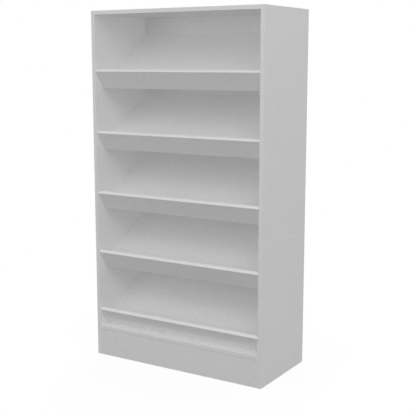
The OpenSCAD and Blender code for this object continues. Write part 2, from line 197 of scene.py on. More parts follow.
class RackStudio(bpy.types.PropertyGroup):
    camera_place: bpy.props.FloatVectorProperty(
        name="Camera place", description="Where the camera stands", default=(2.6013, -4.1133, 1.7214),
        size=3, subtype="TRANSLATION")
    camera_turn: bpy.props.FloatVectorProperty(
        name="Camera turn", description="How the camera is turned",
        default=(math.radians(80.335), 0.0, math.radians(31.678)), size=3, subtype="EULER")
    lens: bpy.props.FloatProperty(
        name="Lens", description="Focal length in millimetres on a sensor 36 mm wide", default=74.55)
    key_light: watts("Key light", "Power of the soft light at the front right", 66.0)
    top_light: watts("Top light", "Power of the soft light above the rack", 78.0)
    low_front_light: watts("Low front light", "Power of the soft light near the floor at the front", 46.5)
    rear_light: watts("Rear light", "Power of the soft light behind the rack, at the left", 95.0)
    light_size: length("Light size", "Width of each soft light", 3.5)
    light_distance: length("Light distance", "Distance of the lights from the middle of the rack", 6.5)
    right_fill: number("Right fill", "Strength of the shadowless light from the upper right", 0.462)
    left_fill: number("Left fill", "Strength of the shadowless light from the left", 0.463)
    low_fill: number("Low fill", "Strength of the shadowless light from below", 0.219)
    fill_width: number("Fill width", "Width of these three lights as seen from the rack, in radians", 0.2)
    surroundings: number("Surroundings", "Strength of the even light from all round", 0.563)
    floor_tone: number("Floor tone", "Share of its light that the floor throws back at the rack", 0.15)
    floor_radius: length("Floor radius", "Radius of the round floor", 14.0)
    floor_drop: length("Floor drop", "Distance of the floor below the rack's lowest edges", 0.0005)
    floor_shade: number("Floor shade", "Share of the light on the floor that the camera sees", 0.2)
    floor_glow: number("Floor glow", "Even brightness that the camera sees on the floor as well", 0.811)
    white_from: length("White from", "Distance from the rack's middle at which the floor gets whiter", 0.7)
    white_to: length("White to", "Distance from the rack's middle at which the floor is white", 2.6)


# How pieces are modelled


def select_only(*pieces):
    bpy.ops.object.select_all(action="DESELECT")
    for piece in pieces:
        piece.select_set(True)
    bpy.context.view_layer.objects.active = pieces[0]


def add(primitive, name, **shape):
    """A primitive whose place and size go into its mesh."""
    bpy.ops.object.select_all(action="DESELECT")
    primitive(**shape)
    piece = bpy.context.object
    piece.name = piece.data.name = name
    bpy.ops.object.transform_apply(location=True, rotation=True, scale=True)
    return piece


def block(name, low, high):
    low, high = Vector(low), Vector(high)
    return add(bpy.ops.mesh.primitive_cube_add, name, size=1, location=(low + high) / 2,
               scale=high - low)


def start_edit(piece, mode):
    select_only(piece)
    bpy.ops.object.mode_set(mode="EDIT")
    bpy.ops.mesh.select_mode(type=mode)
    bpy.ops.mesh.select_all(action="DESELECT")
    return bmesh.from_edit_mesh(piece.data)


def end_edit():
    bpy.ops.object.mode_set(mode="OBJECT")


def bevel_edges(piece, wanted, width, segments=3):
    """Bevels the edges for which wanted(first point, second point) is true."""
    shape = start_edit(piece, "EDGE")
    for edge in shape.edges:
        edge.select_set(wanted(edge.verts[0].co, edge.verts[1].co))
    bmesh.update_edit_mesh(piece.data)
    bpy.ops.mesh.bevel(offset=width, offset_type="OFFSET", segments=segments, affect="EDGES")
    end_edit()


def smooth(piece, degrees):
    """Shades a piece smoothly over edges that turn by less than these degrees."""
    select_only(piece)
    bpy.ops.object.shade_smooth_by_angle(angle=math.radians(degrees))


def turned(name, profile, sides=32):
    """A piece turned on a lathe along Z. Its profile lists (radius, height) from end to end."""
    (radius, height), *rest = profile
    piece = add(bpy.ops.mesh.primitive_circle_add, name, vertices=sides, radius=radius,
                fill_type="NGON", location=(0, 0, height), rotation=(0, 0, math.pi / sides))
    start_edit(piece, "FACE")
    bpy.ops.mesh.select_all(action="SELECT")
    for next_radius, next_height in rest:
        bpy.ops.mesh.extrude_region_move(TRANSFORM_OT_translate={"value": (0, 0, next_height - height)})
        ratio = next_radius / radius
        bpy.ops.transform.resize(value=(ratio, ratio, 1), center_override=(0, 0, next_height))
        radius, height = next_radius, next_height
    bpy.ops.mesh.select_all(action="SELECT")
    bpy.ops.mesh.normals_make_consistent(inside=False)
    end_edit()
    return piece


def screw_thread(name, core, outer, pitch, start, end, steps=14):
    """The ridge of a thread along Z, as one closed coil that sinks a little into its core."""
    sunk = core - (outer - core) / 4
    corners = [(sunk, 0, start), (outer, 0, start + RIDGE / 2 * pitch), (sunk, 0, start + RIDGE * pitch)]
    ridge = add(bpy.ops.mesh.primitive_circle_add, name, vertices=3, radius=pitch)
    for vertex, corner in zip(ridge.data.vertices, corners):
        vertex.co = corner
    bpy.ops.object.modifier_add(type="SCREW")
    coil = ridge.modifiers[-1]
    coil.axis = "Z"
    coil.iterations = int((end - start) / pitch - RIDGE)
    coil.screw_offset = pitch
    coil.steps = coil.render_steps = steps
    coil.use_merge_vertices = True
    coil.merge_threshold = 1e-7
    bpy.ops.object.modifier_apply(modifier=coil.name)
    start_edit(ridge, "EDGE")
    bpy.ops.mesh.select_non_manifold()
    bpy.ops.mesh.fill_holes(sides=3)
    bpy.ops.mesh.select_all(action="SELECT")
    bpy.ops.mesh.normals_make_consistent(inside=False)
    end_edit()
    return ridge


def combine(piece, others, operation):
    """Cuts other pieces out of a piece, or fuses them to it, and removes them."""
    for other in others:
        select_only(piece)
        bpy.ops.object.modifier_add(type="BOOLEAN")
        modifier = piece.modifiers[-1]
        modifier.operation = operation
        modifier.solver = "EXACT"
        modifier.object = other
        bpy.ops.object.modifier_apply(modifier=modifier.name)
        bpy.data.objects.remove(other)
    return piece


def cross_cutters(arm, width, z_low, z_high, taper=0.6):
    """Two crossed bars that narrow towards z_low, for a screwdriver recess."""
    cutters = []
    for turn in (45, 135):
        cutter = block("cutter", (-arm / 2, -width / 2, z_low), (arm / 2, width / 2, z_high))
        for vertex in cutter.data.vertices:
            if vertex.co.z < (z_low + z_high) / 2:
                vertex.co.x *= taper
                vertex.co.y *= taper
        cutter.data.transform(Matrix.Rotation(math.radians(turn), 4, "Z"))
        cutters.append(cutter)
    return cutters


def round_cutter(radius, z_low, z_high, sides=32):
    return add(bpy.ops.mesh.primitive_cylinder_add, "cutter", vertices=sides, radius=radius,
               depth=z_high - z_low, location=(0, 0, (z_low + z_high) / 2))


def remember_local(piece):
    """Keeps each point's place in the piece's own frame, for a pattern that follows the piece."""
    local = piece.data.attributes.new("local", "FLOAT_VECTOR", "POINT")
    for vertex, value in zip(piece.data.vertices, local.data):
        value.vector = vertex.co


def repeat(model, places, name):
    """A copy of the model at each place, joined as one group of separate solids."""
    copies = []
    for place in places:
        copy = model.copy()
        copy.data = model.data.copy()
        copy.data.transform(place)
        bpy.context.scene.collection.objects.link(copy)
        copies.append(copy)
    bpy.data.objects.remove(model)
    return join(name, copies)


def join(name, pieces):
    select_only(*pieces)
    bpy.ops.object.join()
    whole = bpy.context.object
    whole.name = whole.data.name = name
    return whole


def stand_in(piece, material, slot, *nodes, body="cabinet"):
    """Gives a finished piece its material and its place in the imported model."""
    piece.data.materials.clear()
    piece.data.materials.append(material)
    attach(piece, body)
    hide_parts(*nodes)


# Where the shelves, the fittings and the feet are


def slope_frame(slope, tier):
    """Frame of a shelf and its lip: Y runs up the slope from the lip's lowest edge, Z square to it."""
    heel_y = lip_high.y - BOARD * math.cos(slope) + BAND * math.sin(slope)
    heel_z = lip_low.z - BAND * math.cos(slope) + (tier - 1) * PITCH
    return Matrix.Translation((0, heel_y, heel_z)) @ Matrix.Rotation(slope, 4, "X")


def board_end(y, z, turn):
    """The right-hand end of a board: X points into the side, Z to the face that has the cam."""
    return Matrix.Translation((HALF_INNER, y, z)) @ Matrix.Rotation(math.radians(turn), 4, "X")


def run_under(slope):
    """Length of a shelf's underside, from the heel to the back panel."""
    return (SHELF_REAR_Y - slope_frame(slope, 1).translation.y) / math.cos(slope)


def carcass_ends(from_edge, step):
    """Right-hand ends of the boards round the shelves; step moves a fitting away from the cam."""
    ends = []
    for y in (FRONT_Y + from_edge + step, REAR_Y - from_edge - step):
        ends.append(board_end(y, TOP_Z - BOARD / 2, 0))
        ends.append(board_end(y, BASE_TOP - BOARD / 2, 180))
    for y, turn in zip(PLINTH_MIDDLES_Y, (-90, 90)):
        ends.append(board_end(y, PLINTH_H / 2 + step, turn))
    return ends


def shelf_ends(slope, from_edge, step):
    """Right-hand ends of the shelves."""
    middle = run_under(slope) + BOARD * math.tan(slope) / 2
    runs = (BOARD + from_edge + step, middle - from_edge - step)
    return [slope_frame(slope, tier) @ board_end(run, BOARD / 2, 180) for tier in TIERS for run in runs]


def both_ends(places):
    """Right-hand places and their twins at the left. A fitting is alike on both sides of its own XZ plane."""
    return places + [MIRROR_X @ place @ MIRROR_Y for place in places]


def cam_places(scene):
    """Both ends of every board that a cam holds."""
    slope, from_edge = scene.rack_shelves.slope, scene.rack_cams.from_edge
    return both_ends(carcass_ends(from_edge, 0) + shelf_ends(slope, from_edge, 0))


def spread(pieces, inset):
    """Places across the rack, even from inset to inset."""
    gap = (2 * HALF_INNER - 2 * inset) / (pieces - 1)
    return [-HALF_INNER + inset + k * gap for k in range(pieces)]


def foot_axis(corner):
    """The axis of one levelling foot, at the floor."""
    low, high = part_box(f"foot_pad_{corner}")
    return Matrix.Translation(((low.x + high.x) / 2, (low.y + high.y) / 2, 0))


def right_feet():
    return [foot_axis("front_right"), foot_axis("rear_right")]


def lip_height(slope):
    """Height of a lip with its two bands, square to its shelf."""
    core = (lip_high.z - lip_low.z - BOARD * math.sin(slope)) / math.cos(slope)
    return core + 2 * BAND


# What the surfaces are made of


def new_material(name):
    material = bpy.data.materials.new(name)
    material.use_nodes = True
    tree = material.node_tree
    tree.nodes.clear()
    surface = tree.nodes.new("ShaderNodeBsdfPrincipled")
    output = tree.nodes.new("ShaderNodeOutputMaterial")
    tree.links.new(surface.outputs["BSDF"], output.inputs["Surface"])
    return material, tree, surface


def put(tree, kind, inputs, **settings):
    """Adds a shader node; an input is a value or another node's output."""
    made = tree.nodes.new("ShaderNode" + kind)
    for name, value in settings.items():
        setattr(made, name, value)
    for socket, value in inputs.items():
        if isinstance(value, bpy.types.NodeSocket):
            tree.links.new(value, made.inputs[socket])
        else:
            made.inputs[socket].default_value = value
    return made


def blend_colours(tree, share, first, second):
    mix = put(tree, "Mix", {0: share, 6: first, 7: second}, data_type="RGBA")
    return mix.outputs[2]


def shaded(colour, factor):
    return tuple(min(c * factor, 1.0) for c in colour) + (1.0,)


def link_noise(tree, surface, noise, roughness, strength=0.0, depth=0.0002):
    """Lets a noise set the roughness, where that has two ends, and the relief of a surface."""
    if isinstance(roughness, tuple):
        smoothest, roughest = roughness
        rough = put(tree, "MapRange", {"Value": noise, "To Min": smoothest, "To Max": roughest})
        tree.links.new(rough.outputs["Result"], surface.inputs["Roughness"])
    else:
        surface.inputs["Roughness"].default_value = roughness
    if strength:
        relief = put(tree, "Bump", {"Height": noise, "Strength": strength, "Distance": depth})
        tree.links.new(relief.outputs["Normal"], surface.inputs["Normal"])


def mottled(name, scale, detail, dark, pale, metallic=0.0, **finish):
    """A finish whose colour, sheen and relief all follow one fine noise."""
    material, tree, surface = new_material(name)
    surface.inputs["Metallic"].default_value = metallic
    place = put(tree, "TexCoord", {}).outputs["Object"]
    noise = put(tree, "TexNoise", {"Vector": place, "Scale": scale, "Detail": detail}).outputs["Fac"]
    tree.links.new(blend_colours(tree, noise, dark, pale), surface.inputs["Base Color"])
    link_noise(tree, surface, noise, **finish)
    return material


def chip_colour(tree, place, size):
    """Pressed wood chips: pale and dark flakes of two sizes."""
    large = put(tree, "TexVoronoi", {"Vector": place, "Scale": 1 / size})
    small = put(tree, "TexVoronoi", {"Vector": place, "Scale": 2.7 / size})
    grey = put(tree, "RGBToBW", {"Color": blend_colours(tree, 0.4, large.outputs["Color"],
                                                        small.outputs["Color"])})
    ramp = put(tree, "ValToRGB", {"Fac": grey.outputs[0]})
    stops = ramp.color_ramp.elements
    stops[0].position, stops[0].color = 0.2, (0.19, 0.11, 0.055, 1)
    stops[1].position, stops[1].color = 0.8, (0.56, 0.42, 0.26, 1)
    middle = stops.new(0.5)
    middle.color = (0.40, 0.27, 0.15, 1)
    return ramp.outputs["Color"]


def faced_board(name, finish, square_to):
    """Melamine on the two faces square to a direction, raw chipboard on every edge and in every bore."""
    material, tree, surface = new_material(name)
    coordinates = put(tree, "TexCoord", {})
    place = coordinates.outputs["Object"]
    grain = put(tree, "TexNoise", {"Vector": place, "Scale": 1 / finish.grain, "Detail": 2.0,
                                   "Roughness": 0.6})
    speckle = put(tree, "TexNoise", {"Vector": place, "Scale": 1 / finish.speckle, "Detail": 2.0})
    both = put(tree, "Mix", {0: 0.6, 2: grain.outputs["Fac"], 3: speckle.outputs["Fac"]},
               data_type="FLOAT")
    melamine = blend_colours(tree, both.outputs[0], shaded(finish.melamine, 1 - finish.speckle_depth),
                             shaded(finish.melamine, 1 + finish.speckle_depth))
    turned_to = put(tree, "VectorMath", {0: coordinates.outputs["Normal"], 1: square_to},
                    operation="DOT_PRODUCT")
    steep = put(tree, "Math", {0: turned_to.outputs["Value"]}, operation="ABSOLUTE")
    faced = put(tree, "Math", {0: steep.outputs[0], 1: 0.9}, operation="GREATER_THAN").outputs[0]
    chips = chip_colour(tree, place, finish.chip)
    tree.links.new(blend_colours(tree, faced, chips, melamine), surface.inputs["Base Color"])
    rough = put(tree, "MapRange", {"Value": faced, "To Min": 0.9, "To Max": finish.melamine_roughness})
    tree.links.new(rough.outputs["Result"], surface.inputs["Roughness"])
    depth = put(tree, "MapRange", {"Value": faced, "To Min": 0.8, "To Max": 0.05})
    relief = put(tree, "Bump", {"Height": grain.outputs["Fac"], "Strength": depth.outputs["Result"],
                                "Distance": 0.0004})
    tree.links.new(relief.outputs["Normal"], surface.inputs["Normal"])
    return material


def plastic_band(finish):
    """Plastic edge band in the colour of the melamine, a little smoother, with the roller's faint grain."""
    return mottled("edge band plastic", 1 / finish.grain, 2.0, shaded(finish.melamine, 0.96),
                   shaded(finish.melamine, 1.06), roughness=finish.melamine_roughness * 0.85,
                   strength=0.04, depth=0.0003)


def painted_joint_shadow():
    """Near-black painted shadow for the fine joint between two boards: a dark mottled strip in place of the
    shade in the gap.
    """
    return mottled("joint glue", 400.0, 3.0, (0.06, 0.06, 0.062, 1), (0.16, 0.16, 0.162, 1),
                   roughness=0.9, strength=0.4)


def cast_zinc():
    """Dull die-cast zinc with the fine pits of the mould."""
    return mottled("cast zinc", 1500.0, 3.0, (0.50, 0.50, 0.49, 1), (0.66, 0.66, 0.64, 1),
                   metallic=1.0, roughness=(0.38, 0.58), strength=0.25)


def plated_steel():
    """Bright zinc plate with small cloudy spots."""
    return mottled("zinc-plated steel", 260.0, 2.0, (0.60, 0.61, 0.60, 1), (0.78, 0.79, 0.77, 1),
                   metallic=1.0, roughness=(0.2, 0.38))


def beech():
    """Pale beech with its grain along the dowel and short dark flecks."""
    material, tree, surface = new_material("beech")
    local = put(tree, "Attribute", {}, attribute_name="local").outputs["Vector"]
    along = put(tree, "Mapping", {"Vector": local, "Scale": (900.0, 900.0, 60.0)}).outputs["Vector"]
    grain = put(tree, "TexNoise", {"Vector": along, "Scale": 1.0, "Detail": 4.0}).outputs["Fac"]
    colour = blend_colours(tree, grain, (0.44, 0.27, 0.13, 1), (0.70, 0.50, 0.30, 1))
    tree.links.new(colour, surface.inputs["Base Color"])
    link_noise(tree, surface, grain, roughness=0.75, strength=0.3)
    return material


def black_nylon():
    """Black moulded nylon with the fine spark grain of its mould."""
    return mottled("black nylon", 1100.0, 2.0, (0.018, 0.018, 0.019, 1), (0.035, 0.035, 0.036, 1),
                   roughness=(0.42, 0.62), strength=0.3)


# The pieces of the rack


def bar(low, high, outward, rounding):
    """A glued band from low to high, with the long edges of its outward face rounded."""
    piece = block("band", low, high)
    spans = [end - start for start, end in zip(low, high)]
    along = spans.index(max(spans))
    axis = "xyz".index(outward[1])
    face = high[axis] if outward[0] == "+" else low[axis]

    def on_rim(a, b):
        runs_along = abs(a[along] - b[along]) > 0.9 * spans[along]
        return runs_along and abs(a[axis] - face) < BAND / 4 and abs(b[axis] - face) < BAND / 4

    bevel_edges(piece, on_rim, rounding)
    return piece


class RACK_OT_boards(bpy.types.Operator):
    """Faces the boards with melamine and leaves their unbanded edges as raw chipboard"""
    bl_idname = "rack.finish_boards"
    bl_label = "Finish the boards"

    def execute(self, context):
        finish = context.scene.rack_finish
        slope = context.scene.rack_shelves.slope
        upright = faced_board("melamine across the depth", finish, (0, 1, 0))
        groups = (
            (faced_board("melamine on the sides", finish, (1, 0, 0)), ("side_left", "side_right")),
            (faced_board("melamine lying flat", finish, (0, 0, 1)), ("top_board", "base_board")),
            (upright, ("plinth_front", "plinth_rear", "back_panel")),
            (faced_board("melamine on the shelves", finish, (0, -math.sin(slope), math.cos(slope))),
             [f"shelf_{tier}" for tier in TIERS]),
            (faced_board("melamine on the lips", finish, (0, math.cos(slope), math.sin(slope))),
             [f"lip_{tier}" for tier in TIERS]),
        )
        for material, names in groups:
            for name in names:
                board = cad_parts[name]
                board.data.materials.clear()
                board.data.materials.append(material)
        return {"FINISHED"}


class RACK_OT_edge_bands(bpy.types.Operator):
    """Glues plastic bands with rounded outer edges to the boards' visible edges"""
    bl_idname = "rack.add_edge_bands"
    bl_label = "Add the edge bands"

    def execute(self, context):
        shelves = context.scene.rack_shelves
        slope, rounding = shelves.slope, shelves.band_rounding
        front_in, rear_in = FRONT_Y + BAND, REAR_Y - BAND
        plastic = plastic_band(context.scene.rack_finish)
        for side, sign in (("left", -1), ("right", 1)):
            x_low, x_high = sorted((sign * side_low.x, sign * side_high.x))
            parts = [
                bar((x_low, FRONT_Y, 0), (x_high, front_in, TOP_Z), "-y", rounding),
                bar((x_low, rear_in, 0), (x_high, REAR_Y, TOP_Z), "+y", rounding),
                bar((x_low, front_in, TOP_Z - BAND), (x_high, rear_in, TOP_Z), "+z", rounding),
            ]
            stand_in(join(f"{side}_side_bands", parts), plastic, "edge_band", f"edge_bands_{side}_side")
        parts = [
            bar((-HALF_INNER, FRONT_Y, TOP_Z - BOARD), (HALF_INNER, front_in, TOP_Z), "-y", rounding),
            bar((-HALF_INNER, rear_in, TOP_Z - BOARD), (HALF_INNER, REAR_Y, TOP_Z), "+y", rounding),
        ]
        stand_in(join("top_board_bands", parts), plastic, "edge_band", "edge_bands_top_board")
        joint_top = PLINTH_H + shelves.joint
        # The lowest strip of the band gets painted shadow: a near-black material where the gap between base
        # board and plinth would be in shade.
        line = block("line", (-HALF_INNER, FRONT_Y + shelves.joint_depth, PLINTH_H),
                     (HALF_INNER, front_in, joint_top))
        band = bar((-HALF_INNER, FRONT_Y, joint_top), (HALF_INNER, front_in, BASE_TOP), "-y", rounding)
        base = join("base_board_band", [band, line])
        stand_in(base, plastic, "edge_band", "edge_band_base_board")
        base.data.materials.append(painted_joint_shadow())
        for face in base.data.polygons:
            face.material_index = int(face.center.z < joint_top)
        parts = []
        for tier in TIERS:
            for z, outward in ((0, "-z"), (lip_height(slope) - BAND, "+z")):
                part = bar((-HALF_SHELF, 0, z), (HALF_SHELF, BOARD, z + BAND), outward, rounding)
                part.data.transform(slope_frame(slope, tier))
                parts.append(part)
        stand_in(join("lip_bands", parts), plastic, "edge_band", "edge_bands_lips")
        return {"FINISHED"}


class RACK_OT_cam_locks(bpy.types.Operator):
    """Sets a round cam lock into the end of every board that a cam bolt pulls to the sides"""
    bl_idname = "rack.add_cam_locks"
    bl_label = "Add the cam locks"

    def execute(self, context):
        cam = context.scene.rack_cams
        fit = context.scene.rack_feet.fit
        radius, low, high = cam.lock_d / 2, -cam.below_middle + fit, BOARD / 2 - fit
        chamfer = 0.0003
        face = high - 0.0004
        inside_rim = radius - cam.rim
        lock = turned("cam_lock", [
            (radius - chamfer, low), (radius, low + chamfer), (radius, high - chamfer),
            (radius - chamfer, high), (inside_rim, high), (inside_rim - chamfer, face)], sides=40)
        neck = cam.neck_d / 2 + fit
        pointer_size, pointer_inset, pointer_depth = 0.0011, 0.0014, 0.0008
        pointer = add(bpy.ops.mesh.primitive_cylinder_add, "cutter", vertices=3, radius=pointer_size,
                      depth=pointer_depth, location=(inside_rim - pointer_inset, 0, face),
                      rotation=(0, 0, -math.pi / 2))
        cutters = [
            round_cutter(cam.head_d / 2 + fit, -cam.head_d / 2 - fit, cam.head_d / 2 + fit),
            block("cutter", (0, -neck, -neck), (cam.lock_d, neck, neck)),
            pointer,
            *cross_cutters(cam.slot_l, cam.slot_w, face - cam.slot_depth, high + PAST),
        ]
        combine(lock, cutters, "DIFFERENCE")
        smooth(lock, 30)
        lock.data.transform(Matrix.Translation((-cam.reach, 0, 0)))
        locks = repeat(lock, cam_places(context.scene), "cam_fitting_locks")
        stand_in(locks, cast_zinc(), "zinc", "cam_locks")
        return {"FINISHED"}


class RACK_OT_cam_bolts(bpy.types.Operator):
    """Screws a cam bolt into the sides for every cam lock"""
    bl_idname = "rack.add_cam_bolts"
    bl_label = "Add the cam bolts"

    def execute(self, context):
        cam = context.scene.rack_cams
        fit = context.scene.rack_feet.fit
        ball, neck, shank, collar = cam.head_d / 2, cam.neck_d / 2, cam.bolt_d / 2, cam.collar_d / 2
        core = cam.thread_d / 2 - 0.0006
        chamfer, point = 0.0004, 0.0012
        slot_l, slot_w, slot_depth = 0.0036, 0.0009, 0.0012
        neck_end = -cam.reach + cam.lock_d / 2 + 2 * fit
        first, last = -1.3, math.acos(neck / ball)
        arcs = 7
        turns = [first + k * (last - first) / arcs for k in range(arcs + 1)]
        profile = [(ball * math.cos(a), -cam.reach + ball * math.sin(a)) for a in turns]
        profile += [(neck, neck_end), (shank - chamfer, neck_end), (shank, neck_end + chamfer),
                    (shank, -cam.collar_l), (collar - chamfer, -cam.collar_l),
                    (collar, -cam.collar_l + chamfer), (collar, 0), (core, 0),
                    (core, cam.thread_l - point), (core / 3, cam.thread_l)]
        bolt = turned("cam_bolt", profile, sides=20)
        ball_end = profile[0][1]
        slots = cross_cutters(slot_l, slot_w, ball_end - PAST, ball_end + slot_depth, taper=1.0)
        combine(bolt, slots, "DIFFERENCE")
        smooth(bolt, 30)
        thread_start, thread_end = 0.0004, cam.thread_l - 0.0006
        ridge = screw_thread("thread", core, cam.thread_d / 2, cam.thread_pitch, thread_start, thread_end)
        bolt = join("cam_bolt", [bolt, ridge])
        bolt.data.transform(ALONG_X)
        bolts = repeat(bolt, cam_places(context.scene), "cam_fitting_bolts")
        stand_in(bolts, plated_steel(), "zinc_plated_steel", "cam_bolts")
        return {"FINISHED"}


def fluted(piece, radius, depth):
    """Moves every other line of points on a turned piece's widest part inwards, which leaves flutes."""
    widest = [v for v in piece.data.vertices if math.hypot(v.co.x, v.co.y) > radius - depth / 2]
    steps = len({round(math.atan2(v.co.y, v.co.x), 3) for v in widest})
    for vertex in widest:
        line = round(math.atan2(vertex.co.y, vertex.co.x) / (2 * math.pi / steps) - 0.5)
        if line % 2:
            vertex.co.x *= 1 - depth / radius
            vertex.co.y *= 1 - depth / radius


class RACK_OT_dowels(bpy.types.Operator):
    """Adds the fluted wooden dowels that place the boards"""
    bl_idname = "rack.add_dowels"
    bl_label = "Add the dowels"

    def execute(self, context):
        dowels = context.scene.rack_dowels
        slope = context.scene.rack_shelves.slope
        from_edge = context.scene.rack_cams.from_edge
        wood = beech()
        into_lip = Matrix.Rotation(-math.pi / 2, 4, "X") @ Matrix.Rotation(math.pi, 4, "X")
        plinths = [Matrix.Translation((x, y, PLINTH_H)) for x in spread(dowels.per_plinth, dowels.inset)
                   for y in PLINTH_MIDDLES_Y]
        carcass = both_ends(carcass_ends(from_edge, dowels.from_cam))
        shelves = both_ends(shelf_ends(slope, from_edge, dowels.from_cam))
        lip_ends, lip_faces = [], []
        for tier in TIERS:
            lip_ends.append(slope_frame(slope, tier) @ board_end(BOARD / 2, dowels.lip_end_height, 0))
            lip_faces += [slope_frame(slope, tier) @ Matrix.Translation((x, BOARD, BOARD / 2)) @ into_lip
                          for x in spread(dowels.per_lip, dowels.inset)]
        groups = {
            "carcass_dowels": [place @ ALONG_X for place in carcass] + plinths,
            "shelf_dowels": [place @ ALONG_X for place in shelves],
            "lip_dowels": [place @ ALONG_X for place in both_ends(lip_ends)] + lip_faces,
        }
        for node, places in groups.items():
            pins = repeat(fluted_dowel(dowels), places, node.replace("dowels", "pins"))
            stand_in(pins, wood, "beech", node)
        return {"FINISHED"}


def fluted_dowel(dowels):
    """A dowel along Z, with its longer part below the joint."""
    radius, low, high = dowels.diameter / 2, dowels.in_face - dowels.total, dowels.in_face
    narrow = radius - dowels.chamfer * 0.7
    dowel = turned("dowel", [(narrow, low), (radius, low + dowels.chamfer),
                             (radius, high - dowels.chamfer), (narrow, high)], sides=24)
    fluted(dowel, radius, dowels.flute)
    smooth(dowel, 20)
    remember_local(dowel)
    return dowel


def chipboard_screw(name, screws, head, tip):
    """A screw along Z: its head's profile, a cross recess, a coarse thread and a point at the height tip."""
    core = screws.core_d / 2
    neck = head[-1][1]
    point, slot_w = 0.003, 0.0009
    screw = turned(name, head + [(core, neck + 0.0002), (core, tip - point), (core / 6, tip)], sides=20)
    outside = head[0][1]
    recess = cross_cutters(screws.head_d * 0.6, slot_w, outside - PAST, outside + screws.recess, taper=1.0)
    combine(screw, recess, "DIFFERENCE")
    smooth(screw, 35)
    thread_start, thread_end = neck + 0.0012, tip - 0.0022
    ridge = screw_thread("thread", core, screws.diameter / 2, screws.pitch, thread_start, thread_end,
                         steps=12)
    return join(name, [screw, ridge])


class RACK_OT_back_screws(bpy.types.Operator):
    """Drives countersunk screws through the back panel into the shelves"""
    bl_idname = "rack.add_back_screws"
    bl_label = "Add the back panel's screws"

    def execute(self, context):
        screws = context.scene.rack_screws
        slope = context.scene.rack_shelves.slope
        wide = screws.head_d / 2
        edge = 0.0001
        head = [(wide - 2 * edge, 0.0), (wide - edge, edge), (screws.diameter / 2, screws.head_h)]
        screw = chipboard_screw("back_screw", screws, head, screws.back_length)
        rise = run_under(slope) * math.sin(slope) + screws.back_rise
        places = []
        for tier in TIERS:
            z = slope_frame(slope, tier).translation.z + rise
            places += [Matrix.Translation((x, BACK_FACE_Y, z)) @ Matrix.Rotation(math.pi / 2, 4, "X")
                       for x in spread(screws.per_shelf, screws.back_inset)]
        stand_in(repeat(screw, places, "back_panel_screws"), plated_steel(), "zinc_plated_steel",
                 "back_screws")
        return {"FINISHED"}


class RACK_OT_foot_sockets(bpy.types.Operator):
    """Adds the black sockets that carry the levelling feet, with their bushes and screws"""
    bl_idname = "rack.add_foot_sockets"
    bl_label = "Add the foot sockets"

    def execute(self, context):
        feet, screws = context.scene.rack_feet, context.scene.rack_screws
        axes = right_feet()
        half_plate = socket_high.y - axes[1].translation.y
        reach = HALF_INNER - axes[0].translation.x
        plate_x = reach - feet.plate_t
        boss = feet.boss_d / 2
        corner_radius = 0.004
        plate = block("socket", (plate_x, -half_plate, SOCKET_Z), (reach, half_plate, SOCKET_TOP))
        bevel_edges(plate, lambda a, b: abs(a.x - b.x) > feet.plate_t / 2, corner_radius)
        bracket = combine(plate, [
            block("part", (0, -boss, SOCKET_Z), (reach - feet.plate_t / 2, boss, SOCKET_TOP)),
            round_cutter(boss, SOCKET_Z, SOCKET_TOP, sides=48)], "UNION")
        screw_y = half_plate - screws.plate_inset
        screw_z = (SOCKET_Z + screws.plate_inset, SOCKET_TOP - screws.plate_inset)
        corners = [Matrix.Translation((plate_x, y, z)) @ ALONG_X
                   for y in (-screw_y, screw_y) for z in screw_z]
        cutters = [round_cutter(feet.stem_d / 2 + feet.stem_gap, SOCKET_Z - PAST, SOCKET_TOP + PAST),
                   round_cutter(feet.bush_d / 2 + feet.fit, SOCKET_Z - PAST, SOCKET_Z + feet.bush_l)]
        for corner in corners:
            hole = round_cutter(screws.diameter / 2 + feet.fit, -PAST, feet.plate_t + PAST, sides=20)
            hole.data.transform(corner)
            cutters.append(hole)
        combine(bracket, cutters, "DIFFERENCE")
        smooth(bracket, 30)
        brackets = repeat(bracket, both_ends(axes), "foot_brackets")
        stand_in(brackets, black_nylon(), "black_plastic", "foot_sockets")

        steel = plated_steel()
        bushes = repeat(threaded_bush(feet), both_ends(axes), "threaded_bushes")
        stand_in(bushes, steel, "zinc_plated_steel", "foot_bushes")

        wide, tall = screws.head_d / 2, screws.head_h
        screw = chipboard_screw("plate_screw", screws, [
            (wide * 0.6, -tall), (wide * 0.9, -tall * 0.8), (wide, -tall * 0.4), (wide, 0.0),
            (screws.diameter / 2, 0.0)], screws.plate_length - tall)
        places = both_ends([axis @ corner for axis in axes for corner in corners])
        stand_in(repeat(screw, places, "socket_plate_screws"), steel, "zinc_plated_steel", "socket_screws")
        return {"FINISHED"}


def threaded_bush(feet):
    """A metal bush with a grooved outside, in the place it has in a socket."""
    radius, low, high = feet.bush_d / 2, SOCKET_Z, SOCKET_Z + feet.bush_l
    chamfer, groove = 0.0005, 0.0003
    bush = turned("bush", [(radius - chamfer, low), (radius, low + chamfer), (radius, high - chamfer),
                           (radius - chamfer, high)], sides=48)
    fluted(bush, radius, groove)
    combine(bush, [round_cutter(feet.stem_d / 2 + feet.fit, low - PAST, high + PAST)], "DIFFERENCE")
    smooth(bush, 20)
    return bush


class RACK_OT_feet(bpy.types.Operator):
    """Adds the levelling feet: a threaded stem with a spanner collar, and a round pad"""
    bl_idname = "rack.add_feet"
    bl_label = "Add the levelling feet"

    def execute(self, context):
        feet = context.scene.rack_feet
        steel, nylon = plated_steel(), black_nylon()
        for corner in CORNERS:
            low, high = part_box(f"foot_pad_{corner}")
            pad = foot_pad(feet, (high.x - low.x) / 2, high.z)
            stem = foot_stem(feet, high.z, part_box(f"foot_stem_{corner}")[1].z)
            for piece, name in ((pad, "foot_glide"), (stem, "foot_screw")):
                piece.data.transform(foot_axis(corner))
                piece.name = piece.data.name = f"{name}_{corner}"
            stand_in(pad, nylon, "black_plastic", f"foot_pad_{corner}", body=f"foot_{corner}")
            stand_in(stem, steel, "zinc_plated_steel", f"foot_stem_{corner}", body=f"foot_{corner}")
        return {"FINISHED"}


